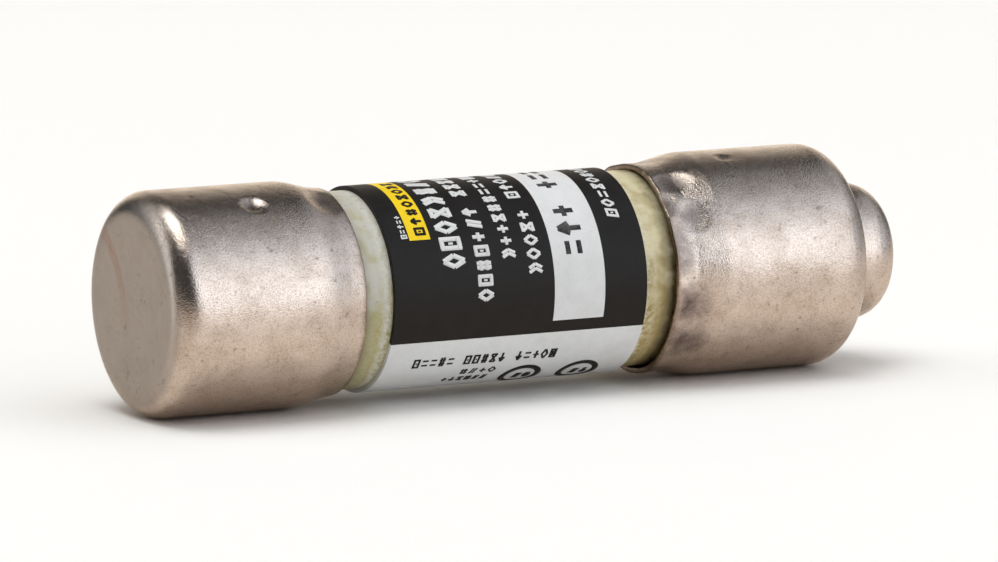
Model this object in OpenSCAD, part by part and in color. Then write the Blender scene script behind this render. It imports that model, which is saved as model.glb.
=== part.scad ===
// Rejection-type cartridge fuse, 13/32 by 1-1/2 inch, sand filled.
// The fuse axis is X. The plain end is at -X, the rejection pip at +X, +Z is up,
// and the origin is on the axis, halfway between the plain end face and the pip's end.

/* [Overall] */
// Length over the plain end face and the pip
fuse_len = 38.1; // [37:0.1:40]
// Outside diameter of both ferrules
ferrule_d = 10.31; // [10.2:0.01:10.5]

/* [Ferrules] */
// Sheet thickness of the drawn ferrules
ferrule_wall = 0.55; // [0.45:0.01:0.58]
// Plain ferrule, end face to rim
plain_ferrule_len = 9.5; // [9:0.1:10]
// Rejection ferrule, rim to shoulder
rejection_ferrule_len = 10.3; // [10:0.1:11]
// Outside radius of the plain ferrule's drawn corner
plain_corner = 1.15; // [0.8:0.05:1.3]
// Outside radius of the rejection ferrule's shoulder
shoulder_corner = 1.4; // [1:0.05:1.5]
// Length over which the plain ferrule's rim is swaged down on the tube
plain_swage_len = 2.2; // [1.5:0.1:2.6]
// How far the plain ferrule's rim is swaged in, on the radius
plain_swage = 0.43; // [0.1:0.01:0.45]
// Length over which the rejection ferrule's rim is swaged
rejection_swage_len = 3; // [1.5:0.1:3.2]
// How far the rejection ferrule's rim is swaged in, on the radius
rejection_swage = 0.28; // [0.1:0.01:0.3]
// Gap that the rejection ferrule's rim leaves round the tube
rim_gap = 0.08; // [0.02:0.01:0.15]

/* [Rejection pip] */
// Pip diameter
pip_d = 6.4; // [6:0.05:6.6]
// Pip length, shoulder to end
pip_len = 2.57; // [2.4:0.01:2.8]
// Rounding of the pip's end
pip_corner = 1.5; // [1:0.05:1.6]

/* [Stake dimples] */
// Dimples round each ferrule
stake_count = 2; // [1:1:4]
// Depth of a dimple below the ferrule's surface
stake_depth = 0.2; // [0.15:0.01:0.3]
// Radius of the round punch nose
stake_nose = 1.15; // [1:0.05:1.4]
// Plain end face to the plain ferrule's dimples
plain_stake_at = 5; // [4:0.1:5.6]
// Shoulder to the rejection ferrule's dimples
rejection_stake_at = 6; // [4:0.1:6.5]

/* [Tube and label] */
// Outside diameter of the insulating tube
tube_d = 9.04; // [9:0.02:9.1]
// Bore of the insulating tube
tube_bore = 6.4; // [5.6:0.1:6.8]
// Thickness of the label stock with its glue
label_t = 0.1; // [0.05:0.01:0.1]
// Full turns of the label round the tube
label_turns = 2; // [1:1:2]
// Label length along the tube
label_len = 12.85; // [11:0.05:13]
// Gap between the plain ferrule's rim and the label
label_gap = 1.4; // [0.9:0.1:1.5]
// Width of the glued lap past the last full turn
label_lap = 2.4; // [1:0.1:4]

/* [Inside] */
// Thickness of the fibre washers
washer_t = 0.5; // [0.4:0.05:0.7]
// Width of the fuse strip
strip_w = 3; // [2.4:0.1:3.2]
// Thickness of the fuse strip
strip_t = 0.15; // [0.1:0.01:0.2]
// Rows of punched holes along the strip
neck_rows = 5; // [3:1:6]
// Radius of the punched holes
neck_hole_r = 0.55; // [0.3:0.05:0.55]

/* [Hidden] */
$fn = 96;

ferrule_r = ferrule_d / 2;
cavity_r = ferrule_r - ferrule_wall;
tube_r = tube_d / 2;
bore_r = tube_bore / 2;
pip_r = pip_d / 2;
tight_rim_gap = 0.02;             // between the tube and a rim that is swaged tight
past = 1;                         // how far a cutting body runs past what it cuts

// Places along the axis, from the plain end face to the pip's end
plain_face_x = -fuse_len / 2;
plain_rim_x = plain_face_x + plain_ferrule_len;
pip_end_x = fuse_len / 2;
shoulder_x = pip_end_x - pip_len;
rejection_rim_x = shoulder_x - rejection_ferrule_len;
label_x = plain_rim_x + label_gap;
plain_stake_x = plain_face_x + plain_stake_at;
rejection_stake_x = shoulder_x - rejection_stake_at;

// Inside the plain ferrule: end wall, solder, washer, tube. The rejection ferrule's
// shoulder holds its washer on the tube, and its solder stands in the hollow pip.
solder_t = 0.35;
plain_washer_x = plain_face_x + ferrule_wall + solder_t;
tube_x0 = plain_washer_x + washer_t;
rejection_washer_x = shoulder_x - ferrule_wall - washer_t;
tube_x1 = rejection_washer_x;
tube_chamfer = 0.3;
washer_r = 3.7;
solder_r = 2.6;
tab_h = 2;                        // folded end of the strip, on the plain washer
strip_slot_clearance = 0.05;
slug_len = 1.45;                  // solder standing in the hollow pip
strip_end_x = pip_end_x - ferrule_wall - 0.5;
spot_r = 0.9;
spot_t = 0.25;
neck_pitch = 5;
spot_x = neck_rows % 2 * neck_pitch / 2;   // always between two rows of holes

// Angles round the fuse, up from -Y towards +Z
plain_stake_angle = 64;
rejection_stake_angle = 76;
label_lap_angle = 232;

// Turns a body drawn along +Z to lie along +X, starting at x
module along_x(x) translate([x, 0, 0]) rotate([0, 90, 0]) children();

// Turns a body that points along -Y to the given angle round the fuse
module at_angle(a) rotate([-a, 0, 0]) children();

module disc(x, len, r) along_x(x) cylinder(h = len, r = r);

// Half section of a rod whose far end is rounded, drawn from the axis outwards
module rounded_half(len, r, corner) {
    square([r - corner, len]);
    square([r, len - corner]);
    translate([r - corner, len - corner])
        intersection() {
            circle(r = corner);
            square(corner);
        }
}

// Rod from x, with its rounded end at x + len
module rounded_rod(x, len, r, corner)
    along_x(x) rotate_extrude() rounded_half(len, r, corner);

// The same rod with its rounded end at x
module rounded_start_rod(x, len, r, corner)
    mirror([1, 0, 0]) rounded_rod(-x - len, len, r, corner);

// The punch nose at each dimple, or the ball that the wall's inside follows there
module stakes(x, first_angle, nose)
    for (i = [0 : stake_count - 1])
        at_angle(first_angle + i * 360 / stake_count)
            translate([x, -(ferrule_r + stake_nose - stake_depth), 0])
                sphere(r = nose);

// Swaged skirt, from the full diameter at x to the rim at x + len
module skirt(x, len, drop) along_x(x) cylinder(h = len, r1 = ferrule_r, r2 = ferrule_r - drop);

// Inside of the skirt, which ends at the given radius at the rim
module skirt_cavity(x, len, rim_r) along_x(x) cylinder(h = len, r1 = cavity_r, r2 = rim_r);

// Bulges that bite into the tube wall, kept to the inside of the ferrule
module stake_bulges(x, first_angle)
    intersection() {
        stakes(x, first_angle, stake_nose + ferrule_wall);
        disc(x - 2 * stake_nose, 4 * stake_nose, cavity_r + ferrule_wall / 2);
    }

// Deep-drawn cup, brass with nickel plate: closed end, barrel, swaged rim and stakes
module plain_ferrule() color([0.74, 0.69, 0.63]) {
    barrel_len = plain_ferrule_len - plain_swage_len;
    swage_x = plain_face_x + barrel_len;
    difference() {
        union() {
            rounded_start_rod(plain_face_x, barrel_len, ferrule_r, plain_corner);
            skirt(swage_x, plain_swage_len, plain_swage);
        }
        difference() {
            union() {
                rounded_start_rod(plain_face_x + ferrule_wall, barrel_len - ferrule_wall,
                                  cavity_r, plain_corner - ferrule_wall);
                skirt_cavity(swage_x, plain_swage_len, tube_r + tight_rim_gap);
            }
            stake_bulges(plain_stake_x, plain_stake_angle);
        }
        stakes(plain_stake_x, plain_stake_angle, stake_nose);
    }
}

// Stepped cup: the narrow pip keeps other fuses of this size out of a rejection holder
module rejection_ferrule() color([0.74, 0.69, 0.63]) {
    barrel_x = rejection_rim_x + rejection_swage_len;
    barrel_len = shoulder_x - barrel_x;
    difference() {
        union() {
            rounded_rod(barrel_x, barrel_len, ferrule_r, shoulder_corner);
            mirror([1, 0, 0]) skirt(-barrel_x, rejection_swage_len, rejection_swage);
            rounded_rod(shoulder_x - past, pip_len + past, pip_r, pip_corner);
        }
        difference() {
            union() {
                rounded_rod(barrel_x, barrel_len - ferrule_wall,
                            cavity_r, shoulder_corner - ferrule_wall);
                mirror([1, 0, 0])
                    skirt_cavity(-barrel_x, rejection_swage_len, tube_r + rim_gap);
                rounded_rod(shoulder_x - past, pip_len + past - ferrule_wall,
                            pip_r - ferrule_wall, pip_corner - ferrule_wall);
            }
            stake_bulges(rejection_stake_x, rejection_stake_angle);
        }
        stakes(rejection_stake_x, rejection_stake_angle, stake_nose);
    }
}

// Glass-cloth melamine tube, chamfered to enter the ferrules and bitten by the stakes
module insulating_tube() color([0.78, 0.76, 0.62])
    difference() {
        union() {
            disc(tube_x0 + tube_chamfer, tube_x1 - tube_x0 - 2 * tube_chamfer, tube_r);
            along_x(tube_x0)
                cylinder(h = tube_chamfer, r1 = tube_r - tube_chamfer, r2 = tube_r);
            along_x(tube_x1 - tube_chamfer)
                cylinder(h = tube_chamfer, r1 = tube_r, r2 = tube_r - tube_chamfer);
        }
        disc(tube_x0 - past, tube_x1 - tube_x0 + 2 * past, bore_r);
        stakes(plain_stake_x, plain_stake_angle, stake_nose + ferrule_wall);
        stakes(rejection_stake_x, rejection_stake_angle, stake_nose + ferrule_wall);
    }

// Printed label, wrapped round the tube in full turns with a glued lap
module label() color([0.13, 0.12, 0.12]) {
    wrap_r = tube_r + label_turns * label_t;
    lap_r = wrap_r + label_t;
    difference() {
        union() {
            disc(label_x, label_len, wrap_r);
            intersection() {
                disc(label_x, label_len, lap_r);
                at_angle(label_lap_angle)
                    translate([label_x, -lap_r - past, -label_lap / 2])
                        cube([label_len, lap_r + past, label_lap]);
            }
        }
        disc(label_x - past, label_len + 2 * past, tube_r);
    }
}

// Fibre washer with a slot for the strip; it keeps the sand in
module washer(x)
    difference() {
        disc(x, washer_t, washer_r);
        translate([x - past, -strip_w / 2 - strip_slot_clearance,
                   -strip_t / 2 - strip_slot_clearance])
            cube([washer_t + 2 * past, strip_w + 2 * strip_slot_clearance,
                  strip_t + 2 * strip_slot_clearance]);
    }

module plain_end_washer() color([0.62, 0.28, 0.2]) washer(plain_washer_x);
module rejection_end_washer() color([0.62, 0.28, 0.2]) washer(rejection_washer_x);

// Current path: a punched strip through the sand, its plain end folded flat
module strip_shape() {
    neck_span = (neck_rows - 1) * neck_pitch;
    strip_x = plain_washer_x - strip_t;
    difference() {
        translate([strip_x, -strip_w / 2, -strip_t / 2])
            cube([strip_end_x - strip_x, strip_w, strip_t]);
        for (row = [0 : neck_rows - 1], side = [-1 : 1])
            translate([row * neck_pitch - neck_span / 2, side * strip_w / 2, -past])
                cylinder(h = 2 * past, r = neck_hole_r);
    }
    translate([strip_x, -strip_w / 2, -strip_t / 2])
        cube([strip_t, strip_w, tab_h]);
}

module fuse_strip() color([0.78, 0.45, 0.28]) strip_shape();

// Tin spot between two rows of holes; it opens the strip on a small overload
module spot_shape()
    translate([spot_x, 0, strip_t / 2])
        cylinder(h = spot_t, r = spot_r);

module alloy_spot() color([0.72, 0.73, 0.74]) spot_shape();

// Solder that joins the folded tab to the plain ferrule
module plain_end_solder() color([0.7, 0.71, 0.72])
    difference() {
        disc(plain_face_x + ferrule_wall, solder_t, solder_r);
        strip_shape();
    }

// Solder slug in the hollow pip, round the strip's end
module rejection_end_solder() color([0.7, 0.71, 0.72])
    difference() {
        rounded_rod(pip_end_x - ferrule_wall - slug_len, slug_len,
                    pip_r - ferrule_wall, pip_corner - ferrule_wall);
        strip_shape();
    }

// Quartz sand that fills the bore and quenches the arc
module sand_filler() color([0.86, 0.82, 0.72])
    difference() {
        disc(tube_x0, tube_x1 - tube_x0, bore_r);
        strip_shape();
        spot_shape();
    }

plain_ferrule();
rejection_ferrule();
insulating_tube();
label();
plain_end_washer();
rejection_end_washer();
fuse_strip();
alloy_spot();
plain_end_solder();
rejection_end_solder();
sand_filler();
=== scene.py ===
import math

import bmesh
import bpy
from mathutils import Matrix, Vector


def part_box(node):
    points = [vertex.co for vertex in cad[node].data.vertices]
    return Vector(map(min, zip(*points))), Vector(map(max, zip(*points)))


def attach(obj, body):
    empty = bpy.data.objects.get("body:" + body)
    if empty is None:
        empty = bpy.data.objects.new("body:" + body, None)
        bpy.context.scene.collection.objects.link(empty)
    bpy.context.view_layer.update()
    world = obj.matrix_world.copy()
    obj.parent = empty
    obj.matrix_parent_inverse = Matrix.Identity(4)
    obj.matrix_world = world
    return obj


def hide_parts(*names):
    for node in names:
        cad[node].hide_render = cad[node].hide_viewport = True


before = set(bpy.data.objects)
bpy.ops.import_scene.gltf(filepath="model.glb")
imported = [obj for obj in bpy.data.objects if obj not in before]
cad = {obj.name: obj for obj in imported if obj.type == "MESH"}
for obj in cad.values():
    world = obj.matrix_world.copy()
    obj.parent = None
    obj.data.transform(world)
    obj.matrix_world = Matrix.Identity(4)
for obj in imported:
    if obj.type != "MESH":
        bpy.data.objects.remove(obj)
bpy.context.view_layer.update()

# --------------------------------------
# Fuse strip. The current path: a copper strip with rows of punched holes, rolled bright.
# It runs through the sand, and its plain end is folded flat on the washer.

MM = 0.001


def linear(hex_colour):
    """An sRGB hex colour as a linear RGBA tuple."""
    channels = [int(hex_colour[i:i + 2], 16) / 255 for i in (1, 3, 5)]
    return (*(c / 12.92 if c <= 0.04045 else ((c + 0.055) / 1.055) ** 2.4 for c in channels), 1.0)


def node(tree, kind, links=None, **settings):
    """Adds a node, its kind named without the family that it belongs to.

    links gives an input, by name or number, a value or the output that it comes from.
    """
    families = ("ShaderNode", "GeometryNode", "FunctionNode", "")
    added = tree.nodes.new(next(f + kind for f in families if hasattr(bpy.types, f + kind)))
    for setting, value in settings.items():
        setattr(added, setting, value)
    for socket, value in (links or {}).items():
        if isinstance(value, bpy.types.NodeSocket):
            tree.links.new(value, added.inputs[socket])
        else:
            added.inputs[socket].default_value = value
    return added


def new_material(name, **constants):
    """A material with one Principled shader, its constant sockets set, and object coordinates."""
    made = bpy.data.materials.new(name)
    made.use_nodes = True
    tree = made.node_tree
    tree.nodes.clear()
    sockets = {key.replace("_", " "): value for key, value in constants.items()}
    shader = node(tree, "BsdfPrincipled", sockets)
    node(tree, "OutputMaterial", {"Surface": shader.outputs["BSDF"]})
    place = node(tree, "TexCoord").outputs["Object"]
    return made, tree, shader, place


def coats(tree, colour, layers):
    """Nodes that lay colours over one another, each as thick as its amount says."""
    for amount, coat in layers:
        mixed = node(tree, "Mix", {"Factor": amount.outputs[0], 6: colour, 7: coat}, data_type="RGBA")
        colour = mixed.outputs[2]
    return colour


def shade(tree, shader, **sources):
    """Links a shader's sockets to the outputs that their values come from."""
    for socket, output in sources.items():
        tree.links.new(output, shader.inputs[socket.replace("_", " ")])


def finish_cad_node(name, finish):
    """Gives a CAD node that is kept as it is its material."""
    cad[name].data.materials.clear()
    cad[name].data.materials.append(finish)


# Rolled copper: fine streaks along the strip from the rolls, a little brown where it was touched
rolled_copper, tree, shader, place = new_material("rolled_copper", Metallic=1.0)
roll_lines = node(tree, "Mapping", {"Vector": place, "Scale": (0.05, 1.0, 1.0)})
roll_streaks = node(tree, "TexNoise", {
    "Vector": roll_lines.outputs[0], "Scale": 1 / (0.08 * MM), "Detail": 3.0})
copper_stain = node(tree, "TexNoise", {"Vector": place, "Scale": 1 / (1.5 * MM), "Detail": 4.0})
copper_colour = coats(tree, linear("#D08A66"), [(copper_stain, linear("#A4593A"))])
copper_rough = node(tree, "MapRange", {"Value": roll_streaks.outputs[0], "To Min": 0.22, "To Max": 0.4})
shade(tree, shader, Base_Color=copper_colour, Roughness=copper_rough.outputs[0])
finish_cad_node("fuse_strip", rolled_copper)

# --------------------------------------
# Tin spot and solder. The spot is melted on the strip between two rows of holes. Solder
# joins the folded tab to the plain ferrule, and fills the pip round the strip's end.

# Tin solder: frosted where it froze slowly, in patches half a millimetre across
frozen_solder, tree, shader, place = new_material("frozen_solder", Metallic=1.0)
frost = node(tree, "TexVoronoi", {"Vector": place, "Scale": 1 / (0.5 * MM)})
solder_colour = node(tree, "Mix", {
    "Factor": frost.outputs["Distance"], 6: linear("#C9CCCF"), 7: linear("#8F9396")}, data_type="RGBA")
solder_rough = node(tree, "MapRange", {
    "Value": frost.outputs["Distance"], "To Min": 0.2, "To Max": 0.5})
solder_bump = node(tree, "Bump", {
    "Height": frost.outputs["Distance"], "Strength": 0.5, "Distance": 0.02 * MM})
shade(tree, shader, Base_Color=solder_colour.outputs[2], Roughness=solder_rough.outputs[0],
      Normal=solder_bump.outputs[0])
for name in ("alloy_spot", "plain_end_solder", "rejection_end_solder"):
    finish_cad_node(name, frozen_solder)

# --------------------------------------
# Washers. Discs punched from red vulcanised fibre, slotted for the strip, which keep the
# sand in. They are held between the tube's ends and the ferrules.

# Vulcanised fibre: layers of cotton paper fused to a horn-like sheet, dull, with its fibres showing
vulcanised_fibre, tree, shader, place = new_material("vulcanised_fibre", Roughness=0.62)
fibre_lines = node(tree, "Mapping", {"Vector": place, "Scale": (1.0, 1.0, 0.15)})
fibres = node(tree, "TexNoise", {
    "Vector": fibre_lines.outputs[0], "Scale": 1 / (0.1 * MM), "Detail": 5.0})
fibre_colour = coats(tree, linear("#6E2A1F"), [(fibres, linear("#9A4A38"))])
fibre_bump = node(tree, "Bump", {"Height": fibres.outputs[0], "Strength": 0.4, "Distance": 0.01 * MM})
shade(tree, shader, Base_Color=fibre_colour, Normal=fibre_bump.outputs[0])
for name in ("plain_end_washer", "rejection_end_washer"):
    finish_cad_node(name, vulcanised_fibre)

# --------------------------------------
# Sand. Clean quartz grains, about 0.3 mm across, vibrated into the bore until they are
# packed tight round the strip. They quench the arc when the strip opens.

# Quartz sand: each grain has its own shade, and the gaps between grains are dark
quartz_sand, tree, shader, place = new_material("quartz_sand", Roughness=0.55)
grains = node(tree, "TexVoronoi", {"Vector": place, "Scale": 1 / (0.3 * MM)})
grain_shade = node(tree, "SeparateColor", {"Color": grains.outputs["Color"]})
grain_colour = coats(tree, linear("#E9E1CC"), [(grain_shade, linear("#B79E76"))])
grain_round = node(tree, "Math", {0: 1.0, 1: grains.outputs["Distance"]}, operation="SUBTRACT")
grain_bump = node(tree, "Bump", {
    "Height": grain_round.outputs[0], "Strength": 0.8, "Distance": 0.1 * MM})
shade(tree, shader, Base_Color=grain_colour, Normal=grain_bump.outputs[0])
finish_cad_node("sand_filler", quartz_sand)

# --------------------------------------
# Tube. Glass cloth wound on a mandrel with melamine resin, cured, and ground to size. It
# is pushed into both ferrules, and shows as a ring at each side of the label.

FULL_TURN = 2 * math.pi
tube_low, tube_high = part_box("insulating_tube")
tube_r = tube_high.z
tube_bore_r = 3.2 * MM
tube_chamfer = 0.3 * MM


def new_group(name, **inputs):
    """A geometry tree with a geometry input and output, and named inputs of the given types."""
    group = bpy.data.node_groups.new(name, "GeometryNodeTree")
    group.interface.new_socket("Geometry", in_out="INPUT", socket_type="NodeSocketGeometry")
    group.interface.new_socket("Geometry", in_out="OUTPUT", socket_type="NodeSocketGeometry")
    for label, kind in inputs.items():
        socket_type = "NodeSocket" + kind
        group.interface.new_socket(label.replace("_", " "), in_out="INPUT", socket_type=socket_type)
    return group, node(group, "NodeGroupInput").outputs


def end_group(group, geometry, finish):
    """Closes a tree: real geometry, one material, and the group's output."""
    real = node(group, "RealizeInstances", {"Geometry": geometry})
    coated = node(group, "SetMaterial", {"Geometry": real.outputs[0], "Material": finish})
    node(group, "NodeGroupOutput", {"Geometry": coated.outputs[0]})


def add_modifier(piece, group, **values):
    """Puts a tree on a piece and sets its inputs by their identifiers."""
    modifier = piece.modifiers.new(group.name, "NODES")
    modifier.node_group = group
    wanted = {key.replace("_", " "): value for key, value in values.items()}
    for socket in group.interface.items_tree:
        if socket.in_out == "INPUT" and socket.name in wanted:
            modifier[socket.identifier] = wanted.pop(socket.name)
    assert not wanted, wanted


def new_piece(name, corners=(), edges=(), faces=()):
    """An object at the origin, with its place in its mesh."""
    mesh = bpy.data.meshes.new(name)
    mesh.from_pydata(corners, edges, faces)
    piece = bpy.data.objects.new(name, mesh)
    bpy.context.scene.collection.objects.link(piece)
    return piece


def bake_piece(piece):
    """Turns what a piece's modifiers make into its plain mesh, closed, with its faces outwards."""
    bpy.context.view_layer.update()
    evaluated = piece.evaluated_get(bpy.context.evaluated_depsgraph_get())
    baked = bpy.data.meshes.new_from_object(evaluated)
    piece.modifiers.clear()
    piece.data = baked
    shape = bmesh.new()
    shape.from_mesh(baked)
    bmesh.ops.remove_doubles(shape, verts=shape.verts, dist=0.0001 * MM)
    bmesh.ops.recalc_face_normals(shape, faces=shape.faces)
    shape.to_mesh(baked)
    shape.free()
    return piece


def outline(name, corners):
    """A half section to turn: corners of (place along the fuse, radius, rounding of the corner)."""
    edges = [(i, i + 1) for i in range(len(corners) - 1)]
    piece = new_piece(name, [(x, r, 0) for x, r, _ in corners], edges)
    rounding = piece.data.attributes.new("rounding", "FLOAT", "POINT")
    rounding.data.foreach_set("value", [c[2] for c in corners])
    return piece


def round_the_fuse(group, x, r, angle):
    """Nodes that give the place at x along the fuse, r from its axis, and an angle up from -Y."""
    cosine = node(group, "Math", {0: angle}, operation="COSINE")
    sine = node(group, "Math", {0: angle}, operation="SINE")
    front = node(group, "Math", {0: r, 1: cosine.outputs[0]}, operation="MULTIPLY")
    back = node(group, "Math", {0: front.outputs[0], 1: -1.0}, operation="MULTIPLY")
    up = node(group, "Math", {0: r, 1: sine.outputs[0]}, operation="MULTIPLY")
    return node(group, "CombineXYZ", {"X": x, "Y": back.outputs[0], "Z": up.outputs[0]}).outputs[0]


def turned_shell(group, given):
    """Nodes that round the outline's corners and turn it about the fuse's axis."""
    line = node(group, "MeshToCurve", {"Mesh": given["Geometry"]})
    rounding = node(group, "InputNamedAttribute", {"Name": "rounding"}, data_type="FLOAT")
    rounded = node(group, "FilletCurve", {
        "Curve": line.outputs[0], "Radius": rounding.outputs["Attribute"], "Count": 7,
        "Limit Radius": True}, mode="POLY")
    # more rings where the outline runs straight, so that no two are further apart than the spacing
    position = node(group, "InputPosition").outputs[0]
    index = node(group, "InputIndex").outputs[0]
    following = node(group, "Math", {0: index, 1: 1.0}, operation="ADD")
    next_point = node(group, "FieldAtIndex", {
        "Value": position, "Index": following.outputs[0]}, data_type="FLOAT_VECTOR", domain="POINT")
    stretch = node(group, "VectorMath", {0: next_point.outputs[0], 1: position}, operation="DISTANCE")
    cuts = node(group, "Math", {0: stretch.outputs["Value"], 1: given["Spacing"]}, operation="DIVIDE")
    section = node(group, "SubdivideCurve", {"Curve": rounded.outputs[0], "Cuts": cuts.outputs[0]})
    rings = node(group, "AttributeDomainSize", {
        "Geometry": section.outputs[0]}, component="CURVE").outputs["Point Count"]
    sheet = node(group, "MeshGrid", {
        "Size X": 1.0, "Size Y": 1.0, "Vertices X": rings, "Vertices Y": given["Segments"]})
    flat = node(group, "SeparateXYZ", {"Vector": position})
    along = node(group, "Math", {0: flat.outputs["X"], 1: 0.5}, operation="ADD")
    last_ring = node(group, "Math", {0: rings, 1: 1.0}, operation="SUBTRACT")
    ring = node(group, "Math", {0: along.outputs[0], 1: last_ring.outputs[0]}, operation="MULTIPLY")
    ring_number = node(group, "Math", {0: ring.outputs[0]}, operation="ROUND")
    ring_place = node(group, "SampleIndex", {
        "Geometry": section.outputs[0], "Value": position, "Index": ring_number.outputs[0]},
        data_type="FLOAT_VECTOR", domain="POINT")
    at = node(group, "SeparateXYZ", {"Vector": ring_place.outputs[0]})
    angle = node(group, "Math", {0: flat.outputs["Y"], 1: FULL_TURN}, operation="MULTIPLY")
    placed = node(group, "SetPosition", {
        "Geometry": sheet.outputs["Mesh"],
        "Position": round_the_fuse(group, at.outputs["X"], at.outputs["Y"], angle.outputs[0])})
    return node(group, "MergeByDistance", {
        "Geometry": placed.outputs[0], "Distance": 0.0005 * MM}).outputs[0]


# Glass-cloth melamine: grey-white resin with the cloth's weave just showing, yellower towards the
# pip, olive in patches low down, dark olive-brown against the ferrules, partly dirt and partly
# painted shade of the rims, and chalky where it was scuffed beside the label
label_low, label_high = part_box("label")
glass_melamine, tree, shader, place = new_material(
    "glass_melamine", Roughness=0.42, Subsurface_Weight=0.1, Subsurface_Scale=0.3 * MM,
    Subsurface_Radius=(1.0, 0.9, 0.6))
where = node(tree, "SeparateXYZ", {"Vector": place})
towards_pip = node(tree, "MapRange", {
    "Value": where.outputs["X"], "From Min": -2 * MM, "From Max": 2 * MM})
resin_colour = coats(tree, linear("#BCB9AB"), [(towards_pip, linear("#CDC29B"))])
olive_colour = coats(tree, linear("#A89F6E"), [(towards_pip, linear("#9D874A"))])
resin_patches = node(tree, "TexNoise", {
    "Vector": place, "Scale": 1 / (0.8 * MM), "Detail": 6.0, "Roughness": 0.6})
low_down = node(tree, "MapRange", {
    "Value": where.outputs["Z"], "From Min": 1.5 * MM, "From Max": -2.5 * MM, "To Max": 0.38})
patch_height = node(tree, "Math", {
    0: resin_patches.outputs[0], 1: low_down.outputs[0]}, operation="ADD")
olive_amount = node(tree, "MapRange", {
    "Value": patch_height.outputs[0], "From Min": 0.46, "From Max": 0.7})
# the cloth's yarns are 0.32 mm apart, too fine to show, so its bands are drawn twice as coarse
cloth_pitch = 0.6333 * MM
wave_repeat = FULL_TURN / 20      # length over which a wave texture repeats at a scale of one
cloth = node(tree, "TexWave", {
    "Vector": place, "Scale": wave_repeat / cloth_pitch, "Distortion": 3.0, "Detail": 2.0,
    "Detail Scale": 1.5}, wave_type="BANDS", bands_direction="X")
scuffs = node(tree, "TexNoise", {
    "Vector": place, "Scale": 1 / (0.2 * MM), "Detail": 4.0, "Roughness": 0.7})
from_middle = node(tree, "Math", {
    0: where.outputs["X"], 1: (label_low.x + label_high.x) / 2}, operation="SUBTRACT")
beside_label = node(tree, "Math", {
    0: node(tree, "Math", {0: from_middle.outputs[0]}, operation="ABSOLUTE").outputs[0],
    1: (label_high.x - label_low.x) / 2}, operation="SUBTRACT")
chalk_band = node(tree, "MapRange", {
    "Value": beside_label.outputs[0], "From Min": 0.25 * MM, "From Max": 0.7 * MM, "To Min": 1.0,
    "To Max": 0.25})
chalk_height = node(tree, "Math", {
    0: cloth.outputs["Fac"], 1: 0.16, 2: scuffs.outputs[0]}, operation="MULTIPLY_ADD")
chalk = node(tree, "MapRange", {
    "Value": chalk_height.outputs[0], "From Min": 0.44, "From Max": 0.7,
    "To Max": chalk_band.outputs[0]})
chalk_shade = coats(tree, linear("#CBCAC0"), [(towards_pip, linear("#D8D1B4"))])
# darker towards the ferrules: dirt, and painted shade of the rims on the tube
rim_dirt_and_shade_band = node(tree, "MapRange", {
    "Value": beside_label.outputs[0], "From Min": 0.8 * MM, "From Max": 1.45 * MM,
    "To Max": node(tree, "MapRange", {
        "Value": towards_pip.outputs[0], "To Min": 0.6, "To Max": 1.4}).outputs[0]})
dirt_and_shade = node(tree, "Math", {0: rim_dirt_and_shade_band.outputs[0], 1: patch_height.outputs[0]}, operation="MULTIPLY")
tube_specks = node(tree, "MapRange", {
    "Value": scuffs.outputs[0], "From Min": 0.36, "From Max": 0.3, "To Max": 0.6})
tube_colour = coats(tree, resin_colour, (
    (olive_amount, olive_colour),
    (chalk, chalk_shade),
    (dirt_and_shade, linear("#4F4428")),
    (tube_specks, linear("#5E5840"))))
tube_bump = node(tree, "Bump", {
    "Height": node(tree, "Math", {
        0: cloth.outputs["Fac"], 1: 0.4, 2: scuffs.outputs[0]}, operation="MULTIPLY_ADD").outputs[0],
    "Strength": 0.6, "Distance": 0.02 * MM})
shade(tree, shader, Base_Color=tube_colour, Normal=tube_bump.outputs[0])

tube_tree, given = new_group("turned_tube", Spacing="Float", Segments="Int", Finish="Material")
tube_shell = turned_shell(tube_tree, given)
tube_smooth = node(tube_tree, "SetShadeSmooth", {"Geometry": tube_shell})
end_group(tube_tree, tube_smooth.outputs[0], given["Finish"])

melamine_tube = outline("melamine_tube", [
    (tube_low.x, tube_bore_r, 0),
    (tube_low.x, tube_r - tube_chamfer, 0.02 * MM),
    (tube_low.x + tube_chamfer, tube_r, 0.02 * MM),
    (tube_high.x - tube_chamfer, tube_r, 0.02 * MM),
    (tube_high.x, tube_r - tube_chamfer, 0.02 * MM),
    (tube_high.x, tube_bore_r, 0),
    (tube_low.x, tube_bore_r, 0)])
add_modifier(melamine_tube, tube_tree, Spacing=0.5 * MM, Segments=193, Finish=glass_melamine)
bake_piece(melamine_tube)
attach(melamine_tube, "root")
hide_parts("insulating_tube")

# --------------------------------------
# Label. White polyester film, printed black with a white panel and a yellow box, wrapped
# twice round the tube and glued down. The last turn ends in a lap at the back, low down.

# angles are up from the front, and distances along are from the label's left edge
film_t = 0.1 * MM
label_r = tube_r + 2 * film_t
lap_edge = math.radians(232)
lap_rise = math.radians(14)
black_from = math.radians(-24.5)
white_until = lap_edge - FULL_TURN + math.radians(4)
panel_x = (label_low.x + 8.1 * MM, label_low.x + 10.68 * MM)
panel_angles = (math.radians(-17.2), math.radians(150))
box_x = (label_low.x + 1.15 * MM, label_low.x + 2.2 * MM)
box_angles = (math.radians(34.5), math.radians(98))
film_corner = 0.02 * MM
edge_climb = math.radians(4)
station_gap = 1.6 * MM
stations_round = 240
hair = 1e-6                       # puts the last station on the lap's top, not at its foot


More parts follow.
